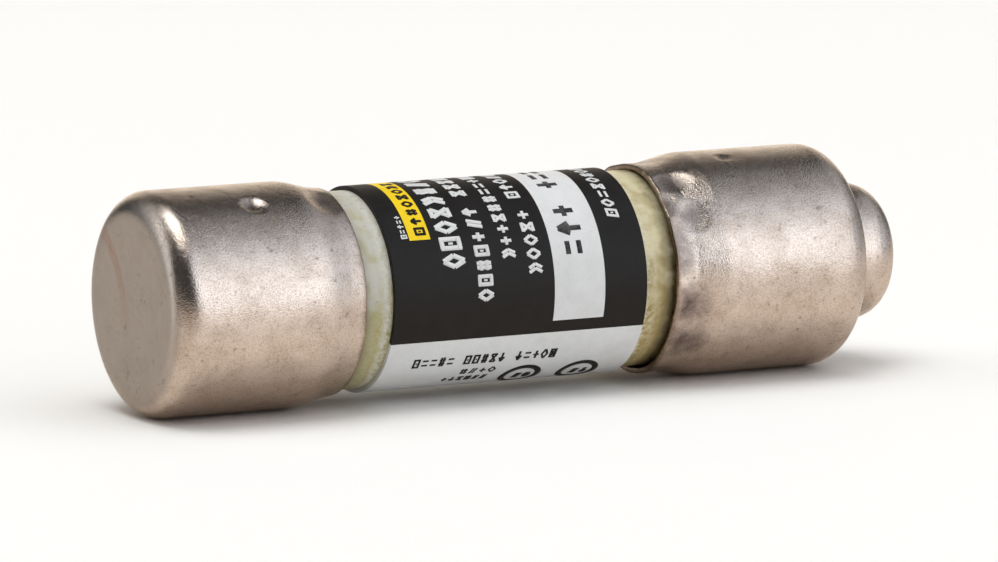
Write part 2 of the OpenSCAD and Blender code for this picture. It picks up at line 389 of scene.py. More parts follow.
def printed_film(name, hex_ink, rough, haze_hex, haze):
    """Film with one ink: satin, with faint rubbing marks and dust that grey the ink."""
    made, tree, shader, place = new_material(name, IOR=1.5, Specular_IOR_Level=0.28)
    rubbed = node(tree, "TexNoise", {
        "Vector": place, "Scale": 1 / (1.2 * MM), "Detail": 7.0, "Roughness": 0.7})
    dust = node(tree, "TexNoise", {"Vector": place, "Scale": 1 / (0.09 * MM), "Detail": 2.0})
    rub_amount = node(tree, "MapRange", {
        "Value": rubbed.outputs[0], "From Min": 0.4, "From Max": 0.75, "To Max": haze})
    dust_amount = node(tree, "MapRange", {
        "Value": dust.outputs[0], "From Min": 0.66, "From Max": 0.72, "To Max": haze * 2})
    greyed = node(tree, "Math", {
        0: rub_amount.outputs[0], 1: dust_amount.outputs[0]}, operation="MAXIMUM")
    colour = coats(tree, linear(hex_ink), [(greyed, linear(haze_hex))])
    gloss = node(tree, "MapRange", {
        "Value": rubbed.outputs[0], "To Min": rough - 0.08, "To Max": rough + 0.1})
    bump = node(tree, "Bump", {"Height": rubbed.outputs[0], "Strength": 0.3, "Distance": 0.006 * MM})
    shade(tree, shader, Base_Color=colour, Roughness=gloss.outputs[0], Normal=bump.outputs[0])
    return made


# Flexographic inks on polyester film: the film's own white, a dense warm black, and a strong yellow
bare_film = printed_film("bare_film", "#DCDCDB", 0.42, "#A9A69F", 0.25)
black_ink = printed_film("black_ink", "#0E0A08", 0.48, "#5C5650", 0.05)
yellow_ink = printed_film("yellow_ink", "#F4D000", 0.45, "#8F7A2A", 0.2)
label_inks = [bare_film, black_ink, yellow_ink]


def film_radius(angle):
    """Outer radius of the wrap, which climbs over the film's first edge before the lap's cut edge."""
    past_edge = (angle - lap_edge) % FULL_TURN
    climb = past_edge - (FULL_TURN - lap_rise)
    if climb < 0:
        return label_r
    share = min(1.0, climb / edge_climb)
    return label_r + film_t * share * share * (3 - 2 * share)


def film_ink(x, angle):
    """Number of the ink at a place on the label."""
    low_angle = (angle - black_from) % FULL_TURN + black_from
    if low_angle > FULL_TURN + white_until:
        return 0
    if panel_x[0] < x < panel_x[1] and panel_angles[0] < low_angle < panel_angles[1]:
        return 0
    if box_x[0] < x < box_x[1] and box_angles[0] < low_angle < box_angles[1]:
        return 2
    return 1


# Stations along the label and round it fall on every edge of the print
stations_x = sorted([label_low.x, label_low.x + film_corner, label_high.x - film_corner, label_high.x,
                     *panel_x, *box_x] + [label_low.x + k * station_gap for k in range(1, 8)])
print_angles = [black_from, white_until, *panel_angles, *box_angles]
round_angles = sorted({round((a - lap_edge) % FULL_TURN, 6) for a in print_angles}
                      | {round(k * FULL_TURN / stations_round, 6) for k in range(stations_round)})
round_angles = [lap_edge + a for a in round_angles] + [lap_edge + FULL_TURN]

label_wrap = new_piece("label_wrap")
shape = bmesh.new()


def film_point(x, r, angle):
    return shape.verts.new((x, -r * math.cos(angle), r * math.sin(angle)))


def film_face(corners, ink):
    face = shape.faces.new(corners)
    face.material_index = ink
    face.smooth = True


outer = []
inner = []
for angle in round_angles:
    r = film_radius(angle - hair) if angle > lap_edge + hair else label_r
    ends = (stations_x[0], stations_x[-1])
    outer.append([film_point(x, r - film_corner if x in ends else r, angle) for x in stations_x])
    inner.append([film_point(x, tube_r, angle) for x in ends])
for k in range(len(round_angles) - 1):
    middle = (round_angles[k] + round_angles[k + 1]) / 2
    for j in range(len(stations_x) - 1):
        ink = film_ink((stations_x[j] + stations_x[j + 1]) / 2, middle)
        film_face((outer[k][j], outer[k][j + 1], outer[k + 1][j + 1], outer[k + 1][j]), ink)
    film_face((inner[k][0], inner[k + 1][0], inner[k + 1][1], inner[k][1]), 0)
    edge_ink = film_ink(stations_x[0], middle)
    for end in (0, -1):
        corners = [inner[k][end], outer[k][end], outer[k + 1][end], inner[k + 1][end]]
        if k == len(round_angles) - 2:
            # the last piece of side also meets the foot of the lap's step
            corners.insert(3, outer[0][end])
        film_face(corners, edge_ink)
# the lap's cut edge: a step from the last turn's top down to the turn below
film_face([*outer[0], *reversed(outer[-1])], 0)
bmesh.ops.remove_doubles(shape, verts=shape.verts, dist=0.00001 * MM)
bmesh.ops.recalc_face_normals(shape, faces=shape.faces)
shape.to_mesh(label_wrap.data)
shape.free()
for ink in label_inks:
    label_wrap.data.materials.append(ink)
label_wrap.data.set_sharp_from_angle(angle=math.radians(35))
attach(label_wrap, "root")
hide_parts("label")

# --------------------------------------
# Print on the label. Rows of plain marks stand where a real label has its words, and ringed
# marks where it has approval marks: no letters. Each stroke is a ridge of ink on the film.

ink_t = 0.008 * MM
ink_sunk = 0.012 * MM

# The marks, each made of strokes given as (x, y, x, y) in a cell one unit square: two chevrons,
# a diamond, an hourglass, a crossed box, a box with a dot, two slashes, a cross, an arrow, two
# bars and a lattice
MARKS = (
    ((0.08, 0, 0.48, 0.5), (0.08, 1, 0.48, 0.5), (0.52, 0, 0.92, 0.5), (0.52, 1, 0.92, 0.5)),
    ((0.5, 0, 0.98, 0.5), (0.98, 0.5, 0.5, 1), (0.5, 1, 0.02, 0.5), (0.02, 0.5, 0.5, 0)),
    ((0, 0.91, 1, 0.91), (0, 0.09, 1, 0.09), (0.05, 0.1, 0.95, 0.9), (0.05, 0.9, 0.95, 0.1)),
    ((0.1, 0, 0.1, 1), (0.9, 0, 0.9, 1), (0, 0.09, 1, 0.09), (0, 0.91, 1, 0.91), (0.1, 0.1, 0.9, 0.9),
     (0.1, 0.9, 0.9, 0.1)),
    ((0.1, 0, 0.1, 1), (0.9, 0, 0.9, 1), (0, 0.09, 1, 0.09), (0, 0.91, 1, 0.91), (0.4, 0.5, 0.6, 0.5)),
    ((0.1, 0, 0.5, 1), (0.55, 0, 0.95, 1)),
    ((0.5, 0.08, 0.5, 0.92), (0.02, 0.5, 0.98, 0.5)),
    ((0.5, 0, 0.5, 1), (0.08, 0.5, 0.5, 0.98), (0.92, 0.5, 0.5, 0.98)),
    ((0, 0.25, 1, 0.25), (0, 0.75, 1, 0.75)),
    ((0.28, 0, 0.28, 1), (0.72, 0, 0.72, 1), (0, 0.28, 1, 0.28), (0, 0.72, 1, 0.72)),
)


def drawn(group, strokes, given):
    """Nodes that draw flat strokes with a nib, as ridges that stand a little above the film."""
    upright = node(group, "SetCurveNormal", {"Curve": strokes}, mode="Z_UP")
    pliable = node(group, "SubdivideCurve", {"Curve": upright.outputs[0], "Cuts": 3})
    nib = node(group, "CurvePrimitiveQuadrilateral", {
        "Width": given["Nib"], "Height": ink_t + ink_sunk})
    ridge = node(group, "CurveToMesh", {
        "Curve": pliable.outputs[0], "Profile Curve": nib.outputs[0], "Fill Caps": True})
    return node(group, "Transform", {
        "Geometry": ridge.outputs[0], "Translation": (0, 0, (ink_t - ink_sunk) / 2)}).outputs[0]


def wrapped(group, flat, given):
    """Nodes that turn flat print to its reading direction, wrap it on the label and ink it."""
    turned = node(group, "Transform", {
        "Geometry": flat,
        "Rotation": node(group, "CombineXYZ", {"Z": given["Turn"]}).outputs[0]})
    position = node(group, "InputPosition").outputs[0]
    at = node(group, "SeparateXYZ", {"Vector": position})
    arc = node(group, "Math", {0: at.outputs["Y"], 1: given["Radius"]}, operation="DIVIDE")
    angle = node(group, "Math", {0: arc.outputs[0], 1: given["Angle"]}, operation="ADD")
    r = node(group, "Math", {0: at.outputs["Z"], 1: given["Radius"]}, operation="ADD")
    x = node(group, "Math", {0: at.outputs["X"], 1: given["At"]}, operation="ADD")
    placed = node(group, "SetPosition", {
        "Geometry": turned.outputs[0],
        "Position": round_the_fuse(group, x.outputs[0], r.outputs[0], angle.outputs[0])})
    inked = node(group, "SetMaterial", {"Geometry": placed.outputs[0], "Material": given["Ink"]})
    together = node(group, "JoinGeometry")
    for print_so_far in (inked.outputs[0], given["Geometry"]):
        group.links.new(print_so_far, together.inputs[0])
    real = node(group, "RealizeInstances", {"Geometry": together.outputs[0]})
    node(group, "NodeGroupOutput", {"Geometry": real.outputs[0]})


# A row: marks picked at random stand on points in a line, in words, and the row is then wrapped
row_tree, given = new_group(
    "print_row", Marks="Int", Word="Int", Pitch="Float", Height="Float", Nib="Float", Slant="Float",
    Turn="Float", At="Float", Angle="Float", Radius="Float", Seed="Int", Ink="Material")
cell_set = node(row_tree, "GeometryToInstance")
for mark in MARKS:
    strokes = node(row_tree, "JoinGeometry")
    for x0, y0, x1, y1 in mark:
        stroke = node(row_tree, "CurvePrimitiveLine", {"Start": (x0, y0, 0), "End": (x1, y1, 0)})
        row_tree.links.new(stroke.outputs[0], strokes.inputs[0])
    row_tree.links.new(strokes.outputs[0], cell_set.inputs[0])
step = node(row_tree, "CombineXYZ", {"X": given["Pitch"]})
line = node(row_tree, "MeshLine", {"Count": given["Marks"], "Offset": step.outputs[0]})
index = node(row_tree, "InputIndex").outputs[0]
word_and_space = node(row_tree, "Math", {0: given["Word"], 1: 1.0}, operation="ADD")
in_word = node(row_tree, "Math", {0: index, 1: word_and_space.outputs[0]}, operation="MODULO")
is_mark = node(row_tree, "Compare", {
    0: in_word.outputs[0], 1: given["Word"]}, data_type="FLOAT", operation="LESS_THAN")
# marks follow a stepped order with a random start, so that two alike never stand together
start = node(row_tree, "RandomValue", {
    4: 0, 5: len(MARKS) - 1, "ID": 0, "Seed": given["Seed"]}, data_type="INT")
order = node(row_tree, "Math", {0: index, 1: 3.0, 2: start.outputs[2]}, operation="MULTIPLY_ADD")
pick = node(row_tree, "Math", {0: order.outputs[0], 1: float(len(MARKS))}, operation="MODULO")
width = node(row_tree, "Math", {0: given["Pitch"], 1: given["Nib"]}, operation="SUBTRACT")
narrow = node(row_tree, "Math", {0: width.outputs[0], 1: 0.9}, operation="MULTIPLY")
size = node(row_tree, "CombineXYZ", {"X": narrow.outputs[0], "Y": given["Height"], "Z": 1.0})
row = node(row_tree, "InstanceOnPoints", {
    "Points": line.outputs[0], "Selection": is_mark.outputs[0], "Instance": cell_set.outputs[0],
    "Pick Instance": True, "Instance Index": pick.outputs[0], "Scale": size.outputs[0]})
real_row = node(row_tree, "RealizeInstances", {"Geometry": row.outputs[0]})
position = node(row_tree, "InputPosition").outputs[0]
here = node(row_tree, "SeparateXYZ", {"Vector": position})
lean = node(row_tree, "Math", {0: here.outputs["Y"], 1: given["Slant"]}, operation="MULTIPLY")
slanted = node(row_tree, "SetPosition", {
    "Geometry": real_row.outputs[0],
    "Offset": node(row_tree, "CombineXYZ", {"X": lean.outputs[0]}).outputs[0]})
wrapped(row_tree, drawn(row_tree, slanted.outputs[0], given), given)

# A ring, drawn in the same way
ring_tree, given = new_group(
    "print_ring", Size="Float", Nib="Float", Turn="Float", At="Float", Angle="Float", Radius="Float",
    Ink="Material")
circle = node(ring_tree, "CurvePrimitiveCircle", {"Resolution": 32, "Radius": given["Size"]})
wrapped(ring_tree, drawn(ring_tree, circle.outputs[0], given), given)

# A dense rubber-stamped ink, thin and broken in places where the stamp did not press
stamped_ink = printed_film("stamped_ink", "#1A191B", 0.5, "#8C8A88", 0.55)

# Rows that read round the fuse, from the front upwards: piece, marks, word, pitch, height, nib,
# slant, the baseline's distance from the label's left edge, and the first mark's angle
UPWARD = math.radians(90)
INVERTED = math.radians(180)
white_print = new_piece("white_print")
black_print = new_piece("black_print")
round_rows = (
    (white_print, bare_film, 9, 9, 0.84, 1.06, 0.23, 0, 3.66, 17.5),
    (white_print, bare_film, 17, 7, 0.68, 0.72, 0.18, 0, 4.96, -2.0),
    (white_print, bare_film, 12, 12, 0.6, 0.64, 0.15, 0, 6.25, 20.5),
    (white_print, bare_film, 12, 5, 0.66, 0.64, 0.15, 0, 7.5, 10.8),
    (white_print, bare_film, 8, 8, 0.58, 0.58, 0.13, 0.2, 11.95, 39.5),
    (white_print, bare_film, 5, 5, 0.27, 0.3, 0.07, 0, 1.07, 36.0),
    (black_print, stamped_ink, 9, 3, 0.94, 1.18, 0.25, 0, 9.84, 19.8),
    (black_print, black_ink, 8, 8, 0.56, 0.52, 0.13, 0, 2.04, 37.5),
)
for seed, row in enumerate(round_rows):
    piece, ink, marks, word, pitch, height, nib, slant, baseline, angle = row
    add_modifier(piece, row_tree, Marks=marks, Word=word, Pitch=pitch * MM, Height=height * MM,
                 Nib=nib * MM, Slant=slant, Turn=UPWARD, At=label_low.x + baseline * MM,
                 Angle=math.radians(angle), Radius=label_r, Seed=seed, Ink=ink)

# Rows on the white strip, upside down as the fuse lies: marks, word, pitch, height, nib, the first
# mark's distance from the label's left edge, and the baseline's angle
strip_rows = (
    (17, 5, 0.435, 0.6, 0.11, 8.72, -36.5),
    (4, 4, 0.48, 0.44, 0.1, 5.95, -48.5),
    (6, 6, 0.4, 0.46, 0.1, 5.75, -57.0),
    (2, 2, 0.5, 0.6, 0.2, 8.05, -59.0),
    (2, 2, 0.5, 0.6, 0.2, 11.0, -59.0),
    (14, 4, 0.5, 0.6, 0.11, 9.6, -84.0),
    (18, 6, 0.5, 0.6, 0.11, 11.2, -96.0),
)
first_strip_seed = 40
for seed, row in enumerate(strip_rows, first_strip_seed):
    marks, word, pitch, height, nib, first, angle = row
    add_modifier(black_print, row_tree, Marks=marks, Word=word, Pitch=pitch * MM, Height=height * MM,
                 Nib=nib * MM, Slant=0.0, Turn=INVERTED, At=label_low.x + first * MM,
                 Angle=math.radians(angle), Radius=label_r, Seed=seed, Ink=black_ink)
# two rings on the strip, at these distances from the label's left edge
for at in (7.55, 10.5):
    add_modifier(black_print, ring_tree, Size=0.88 * MM, Nib=0.3 * MM, Turn=0.0,
                 At=label_low.x + at * MM, Angle=math.radians(-62), Radius=label_r, Ink=black_ink)
for piece in (white_print, black_print):
    bake_piece(piece)
    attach(piece, "root")

# --------------------------------------
# Ferrules. Cups deep drawn from brass sheet, tumbled, and plated with nickel. Each is
# pushed on the tube, its rim swaged down, and staked with a round punch at two places.

# Nickel-plated brass, tumbled: a warm grey satin with a fine grain that breaks up the edges of
# what it mirrors. Purple-brown dirt stays in dents and pits, and next to the rims, where painted
# shade also darkens the plate. The flat end is greyed as painted shade, and brass shows on the
# worn edges of the rims.
nickel_plate, tree, shader, place = new_material("nickel_plated_brass", Metallic=1.0)
grain_size = 0.075 * MM           # the real grain is half that, too fine to show
grain = node(tree, "TexNoise", {
    "Vector": place, "Scale": 1 / grain_size, "Detail": 2.0, "Roughness": 0.6})
stain = node(tree, "TexNoise", {
    "Vector": place, "Scale": 1 / (1.4 * MM), "Detail": 7.0, "Roughness": 0.65})
stain_amount = node(tree, "MapRange", {
    "Value": stain.outputs[0], "From Min": 0.42, "From Max": 0.72, "To Max": 0.5})
speckle = node(tree, "MapRange", {
    "Value": grain.outputs[0], "From Min": 0.55, "From Max": 0.25, "To Max": 0.65})
tarnish = node(tree, "Math", {
    0: stain_amount.outputs[0], 1: speckle.outputs[0]}, operation="ADD", use_clamp=True)
# the flat end, greyed as painted shade, with one pink scuff across it where the plate is worn thin
plain_low, plain_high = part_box("plain_ferrule")
where = node(tree, "SeparateXYZ", {"Vector": place})
flat_end_shade = node(tree, "MapRange", {
    "Value": where.outputs["X"], "From Min": plain_low.x + 0.1 * MM, "From Max": plain_low.x + 0.3 * MM,
    "To Min": 0.85, "To Max": 0.0})
scuff_r = 5.6 * MM
scuff_centre = (plain_low.x, 6.3 * MM, -1.4 * MM)
from_scuff = node(tree, "VectorMath", {0: place, 1: scuff_centre}, operation="DISTANCE")
off_scuff = node(tree, "Math", {
    0: from_scuff.outputs["Value"], 1: scuff_r, 2: 0.3 * MM}, operation="COMPARE")
scuff_amount = node(tree, "Math", {
    0: off_scuff.outputs[0], 1: flat_end_shade.outputs[0]}, operation="MULTIPLY")
scuff_fade = node(tree, "MapRange", {
    "Value": where.outputs["Z"], "From Min": -1.5 * MM, "From Max": 1.5 * MM, "To Max": 0.4})
scuff_faded = node(tree, "Math", {
    0: scuff_amount.outputs[0], 1: scuff_fade.outputs[0]}, operation="MULTIPLY")
# dirt in the dents, and painted shade next to the rims, as the ferrule tree stores them
grime = node(tree, "Attribute", attribute_name="grime")
grime_and_shade_grain = node(tree, "Math", {
    0: grime.outputs["Fac"], 1: stain.outputs[0], 2: -0.2}, operation="MULTIPLY_ADD")
grime_and_shade_amount = node(tree, "Math", {
    0: grime_and_shade_grain.outputs[0], 1: 2.1}, operation="MULTIPLY", use_clamp=True)
pits = node(tree, "TexNoise", {
    "Vector": place, "Scale": 1 / (0.3 * MM), "Detail": 3.0, "Roughness": 0.6})
pit_amount = node(tree, "MapRange", {
    "Value": pits.outputs[0], "From Min": 0.62, "From Max": 0.72, "To Max": 0.5})
worn_edge = node(tree, "Attribute", attribute_name="worn")
edge_amount = node(tree, "Math", {
    0: worn_edge.outputs["Fac"], 1: pits.outputs[0]}, operation="MULTIPLY")
plate_colour = coats(tree, linear("#DACEC4"), (
    (tarnish, linear("#A39181")),
    (flat_end_shade, linear("#A39C96")),
    (scuff_faded, linear("#A0745C")),
    (grime_and_shade_amount, linear("#64585A")),
    (pit_amount, linear("#54483F")),
    (edge_amount, linear("#7A6038"))))
draw_lines = node(tree, "TexNoise", {
    "Vector": node(tree, "Mapping", {"Vector": place, "Scale": (1.0, 0.06, 0.06)}).outputs[0],
    "Scale": 1 / (0.08 * MM), "Detail": 2.0})
plate_rough = node(tree, "MapRange", {
    "Value": stain.outputs[0], "From Min": 0.3, "From Max": 0.7, "To Min": 0.15, "To Max": 0.25})
grime_and_shade_rough = node(tree, "Math", {
    0: grime_and_shade_amount.outputs[0], 1: 0.2, 2: plate_rough.outputs[0]}, operation="MULTIPLY_ADD")
surface = node(tree, "Math", {
    0: draw_lines.outputs[0], 1: 0.15, 2: grain.outputs[0]}, operation="MULTIPLY_ADD")
plate_bump = node(tree, "Bump", {"Height": surface.outputs[0], "Strength": 1.0, "Distance": 0.016 * MM})
shade(tree, shader, Base_Color=plate_colour, Roughness=grime_and_shade_rough.outputs[0],
      Normal=plate_bump.outputs[0])

rejection_low, rejection_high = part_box("rejection_ferrule")
ferrule_r = plain_high.z
wall = 0.5 * MM

# The tree: the cup is turned, then each dent in turn presses the wall in, then the rim is
# made uneven. A dent is a point of (place along the fuse, angle, depth) with its reach.
cup_tree, given = new_group(
    "drawn_ferrule", Spacing="Float", Segments="Int", Dents="Object", Radius="Float", Rim_At="Float",
    Rim_Reach="Float", Rim_Wave="Float", Seed="Float", Finish="Material")
cup = turned_shell(cup_tree, given)
dents = node(cup_tree, "GeometryNodeObjectInfo", {"Object": given["Dents"]}).outputs["Geometry"]
dent_count = node(cup_tree, "AttributeDomainSize", {"Geometry": dents}, component="MESH")
each = node(cup_tree, "RepeatInput")
done = node(cup_tree, "RepeatOutput")
each.pair_with_output(done)
cup_tree.links.new(dent_count.outputs["Point Count"], each.inputs["Iterations"])
cup_tree.links.new(cup, each.inputs["Geometry"])
position = node(cup_tree, "InputPosition").outputs[0]
dent_place = node(cup_tree, "SampleIndex", {
    "Geometry": dents, "Value": position, "Index": each.outputs["Iteration"]}, data_type="FLOAT_VECTOR")
reach = node(cup_tree, "InputNamedAttribute", {
    "Name": "reach"}, data_type="FLOAT_VECTOR").outputs["Attribute"]
dent_reach = node(cup_tree, "SampleIndex", {
    "Geometry": dents, "Value": reach, "Index": each.outputs["Iteration"]}, data_type="FLOAT_VECTOR")
dent_at = node(cup_tree, "SeparateXYZ", {"Vector": dent_place.outputs[0]})
dent_size = node(cup_tree, "SeparateXYZ", {"Vector": dent_reach.outputs[0]})
here = node(cup_tree, "SeparateXYZ", {"Vector": position})
to_front = node(cup_tree, "Math", {0: here.outputs["Y"], 1: -1.0}, operation="MULTIPLY")
here_angle = node(cup_tree, "Math", {0: here.outputs["Z"], 1: to_front.outputs[0]}, operation="ARCTAN2")
off_angle = node(cup_tree, "Math", {
    0: here_angle.outputs[0], 1: dent_at.outputs["Y"]}, operation="SUBTRACT")
off_turn = node(cup_tree, "Math", {0: off_angle.outputs[0], 1: math.pi, 2: -math.pi}, operation="WRAP")
off_round = node(cup_tree, "Math", {0: off_turn.outputs[0], 1: given["Radius"]}, operation="MULTIPLY")
off_along = node(cup_tree, "Math", {
    0: here.outputs["X"], 1: dent_at.outputs["X"]}, operation="SUBTRACT")
share_along = node(cup_tree, "Math", {
    0: off_along.outputs[0], 1: dent_size.outputs["X"]}, operation="DIVIDE")
share_round = node(cup_tree, "Math", {
    0: off_round.outputs[0], 1: dent_size.outputs["Y"]}, operation="DIVIDE")
share = node(cup_tree, "CombineXYZ", {"X": share_along.outputs[0], "Y": share_round.outputs[0]})
off_centre = node(cup_tree, "VectorMath", {0: share.outputs[0]}, operation="LENGTH")
squared = node(cup_tree, "Math", {
    0: off_centre.outputs["Value"], 1: off_centre.outputs["Value"]}, operation="MULTIPLY")
bowl = node(cup_tree, "Math", {0: 1.0, 1: squared.outputs[0]}, operation="SUBTRACT", use_clamp=True)
shaped = node(cup_tree, "Math", {0: bowl.outputs[0], 1: dent_size.outputs["Z"]}, operation="POWER")
drop = node(cup_tree, "Math", {0: shaped.outputs[0], 1: dent_at.outputs["Z"]}, operation="MULTIPLY")
from_axis = node(cup_tree, "CombineXYZ", {"Y": here.outputs["Y"], "Z": here.outputs["Z"]})
outwards = node(cup_tree, "VectorMath", {0: from_axis.outputs[0]}, operation="NORMALIZE")
inwards = node(cup_tree, "Math", {0: drop.outputs[0], 1: -1.0}, operation="MULTIPLY")
press = node(cup_tree, "VectorMath", {
    0: outwards.outputs[0], "Scale": inwards.outputs[0]}, operation="SCALE")
pressed = node(cup_tree, "SetPosition", {
    "Geometry": each.outputs["Geometry"], "Offset": press.outputs[0]})
old_grime = node(cup_tree, "InputNamedAttribute", {"Name": "grime"}, data_type="FLOAT")
new_grime = node(cup_tree, "Math", {
    0: shaped.outputs[0], 1: old_grime.outputs["Attribute"]}, operation="MAXIMUM")
marked = node(cup_tree, "StoreNamedAttribute", {
    "Geometry": pressed.outputs[0], "Name": "grime", "Value": new_grime.outputs[0]},
    data_type="FLOAT", domain="POINT")
cup_tree.links.new(marked.outputs[0], done.inputs["Geometry"])
# the rim: trimmed a little out of square, and not quite round after swaging
from_rim = node(cup_tree, "Math", {0: here.outputs["X"], 1: given["Rim At"]}, operation="SUBTRACT")
rim_distance = node(cup_tree, "Math", {0: from_rim.outputs[0]}, operation="ABSOLUTE")
near_rim = node(cup_tree, "MapRange", {
    "Value": rim_distance.outputs[0], "From Max": given["Rim Reach"], "To Min": 1.0, "To Max": 0.0},
    interpolation_type="SMOOTHSTEP")
wave = node(cup_tree, "TexNoise", {
    "Vector": outwards.outputs[0], "W": given["Seed"], "Scale": 2.2, "Detail": 4.0},
    noise_dimensions="4D")
centred_wave = node(cup_tree, "VectorMath", {
    0: wave.outputs["Color"], 1: (0.5, 0.5, 0.5)}, operation="SUBTRACT")
wave_size = node(cup_tree, "Math", {0: near_rim.outputs[0], 1: given["Rim Wave"]}, operation="MULTIPLY")
wave_offset = node(cup_tree, "VectorMath", {
    0: centred_wave.outputs[0], "Scale": wave_size.outputs[0]}, operation="SCALE")
waved = node(cup_tree, "SetPosition", {
    "Geometry": done.outputs["Geometry"], "Offset": wave_offset.outputs[0]})
# the sheet's cut edge and what is next to it are worn through to the brass
brass_shows = node(cup_tree, "MapRange", {
    "Value": rim_distance.outputs[0], "From Min": 0.06 * MM, "From Max": 0.2 * MM,
    "To Min": 1.0, "To Max": 0.0})
edged = node(cup_tree, "StoreNamedAttribute", {
    "Geometry": done.outputs["Geometry"], "Name": "worn", "Value": brass_shows.outputs[0]},
    data_type="FLOAT", domain="POINT")
# darker next to the rims: dirt, with painted shade where the rim stands over the tube
near_edge = node(cup_tree, "MapRange", {
    "Value": rim_distance.outputs[0], "From Max": 0.7 * MM, "To Min": 0.75, "To Max": 0.0})
rim_grime_and_shade = node(cup_tree, "Math", {
    0: near_edge.outputs[0], 1: old_grime.outputs["Attribute"]}, operation="MAXIMUM")
grimed_and_shaded = node(cup_tree, "StoreNamedAttribute", {
    "Geometry": edged.outputs[0], "Name": "grime", "Value": rim_grime_and_shade.outputs[0]},
    data_type="FLOAT", domain="POINT")
cup_tree.links.new(grimed_and_shaded.outputs[0], waved.inputs["Geometry"])
smooth = node(cup_tree, "SetShadeSmooth", {"Geometry": waved.outputs[0]})
end_group(cup_tree, smooth.outputs[0], given["Finish"])


def dent_points(name, dents, rim_at, inwards):
    """The dents as points for the tree, which stand at their distance inwards from the rim."""
    places = [(rim_at + inwards * from_rim * MM, math.radians(angle), depth * MM)
              for from_rim, angle, depth, *_ in dents]
    points = new_piece(name, places)
    reach = points.data.attributes.new("reach", "FLOAT_VECTOR", "POINT")
    reach.data.foreach_set("vector", [v for _, _, _, length, width, soft in dents
                                      for v in (length * MM, width * MM, soft)])
    return points


def make_ferrule(piece, dents, cad_name, rim_at, inwards, rim_wave, seed):
    """Presses and finishes a ferrule from its outline, and puts it in its CAD node's place."""
    points = dent_points(piece.name + "_dents", dents, rim_at, inwards)
    add_modifier(piece, cup_tree, Spacing=0.15 * MM, Segments=257, Dents=points, Radius=ferrule_r,
                 Rim_At=rim_at, Rim_Reach=1.6 * MM, Rim_Wave=rim_wave, Seed=seed, Finish=nickel_plate)
    bake_piece(piece)
    bpy.data.objects.remove(points)
    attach(piece, "root")
    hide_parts(cad_name)


# Plain ferrule: a flat end, dished very slightly by drawing, and a rim that bites into the tube
plain_x = plain_low.x
rim_x = plain_high.x
plain_corner = 1.15 * MM
plain_rim_r = ferrule_r - 0.42 * MM
plain_edge = 0.16 * MM
plain_cup = outline("plain_cup", [
    (plain_x + 0.04 * MM, 0, 0),
    (plain_x + 0.03 * MM, 2.4 * MM, 0.5 * MM),
    (plain_x, 3.2 * MM, 0.4 * MM),
    (plain_x, ferrule_r, plain_corner),
    (rim_x - 1.95 * MM, ferrule_r, 3.5 * MM),
    (rim_x - 0.8 * MM, ferrule_r - 0.29 * MM, 2.0 * MM),
    (rim_x, plain_rim_r, 0.07 * MM),
    (rim_x, plain_rim_r - plain_edge, 0.05 * MM),
    (rim_x - 2.3 * MM, ferrule_r - wall, 0.4 * MM),
    (plain_x + wall, ferrule_r - wall, plain_corner - wall),
    (plain_x + wall, 0, 0)])
# dents: distance from the rim, angle, depth, half length and half width, in mm and degrees, and
# how softly the bowl ends. The first two are the stakes, on opposite sides.
plain_dents = (
    (4.5, 63.5, 0.19, 0.66, 0.66, 1.3),
    (4.5, 243.5, 0.19, 0.66, 0.66, 1.3),
    (0.85, 66, 0.11, 0.95, 1.3, 1.3),
    (0.75, 98, 0.05, 1.2, 1.8, 2.0),
    (0.55, 150, 0.12, 1.2, 1.6, 1.6),
    (0.65, -125, 0.13, 1.2, 1.8, 1.6),
)
make_ferrule(plain_cup, plain_dents, "plain_ferrule", rim_x, -1, 0.14 * MM, 3.0)

# Rejection ferrule: a second draw made the pip, and the rim was left standing a little off the tube
pip_end = rejection_high.x
shoulder = pip_end - 2.57 * MM
shoulder_corner = 1.4 * MM
pip_r = 3.2 * MM
pip_corner = 1.5 * MM
open_rim = rejection_low.x
open_rim_r = ferrule_r - 0.28 * MM
open_edge = 0.28 * MM
rejection_cup = outline("rejection_cup", [
    (pip_end - 0.02 * MM, 0, 0),
    (pip_end, 1.2 * MM, 0.3 * MM),
    (pip_end, pip_r, pip_corner),
    (shoulder, pip_r - 0.02 * MM, 0.22 * MM),
    (shoulder, ferrule_r, shoulder_corner),
    (open_rim + 2.7 * MM, ferrule_r, 2.4 * MM),
    (open_rim + 1.1 * MM, open_rim_r + 0.03 * MM, 1.6 * MM),
    (open_rim, open_rim_r, 0.09 * MM),
    (open_rim, open_rim_r - open_edge, 0.07 * MM),
    (open_rim + 2.6 * MM, ferrule_r - wall, 0.6 * MM),
    (shoulder - wall, ferrule_r - wall, shoulder_corner - wall),
    (shoulder - wall, pip_r - wall, 0.15 * MM),
    (pip_end - wall, pip_r - wall, pip_corner - wall),
    (pip_end - wall, 0, 0)])
# its stakes, and the marks that swaging left along its rim, one of which bulges outwards
rejection_dents = (
    (4.32, 76.5, 0.09, 0.45, 0.45, 1.4),
    (4.32, 256.5, 0.09, 0.45, 0.45, 1.4),
    (0.72, 98, 0.14, 2.2, 1.9, 1.8),
    (0.97, 60, 0.11, 1.1, 0.8, 1.3),
    (1.22, 36, 0.12, 0.9, 1.0, 1.2),
    (0.22, 44, 0.1, 0.6, 0.8, 1.3),
    (0.32, 16, 0.03, 1.1, 2.0, 1.0),
    (0.72, -14, 0.02, 1.5, 1.7, 1.0),
    (0.92, -36, 0.05, 1.6, 1.8, 1.0),
    (0.02, -66, -0.1, 0.9, 1.5, 1.5),
    (0.92, 150, 0.15, 1.3, 1.5, 1.3),
    (0.92, -150, 0.13, 1.2, 1.4, 1.3),
    (0.92, -105, 0.14, 1.3, 1.3, 1.3),
)
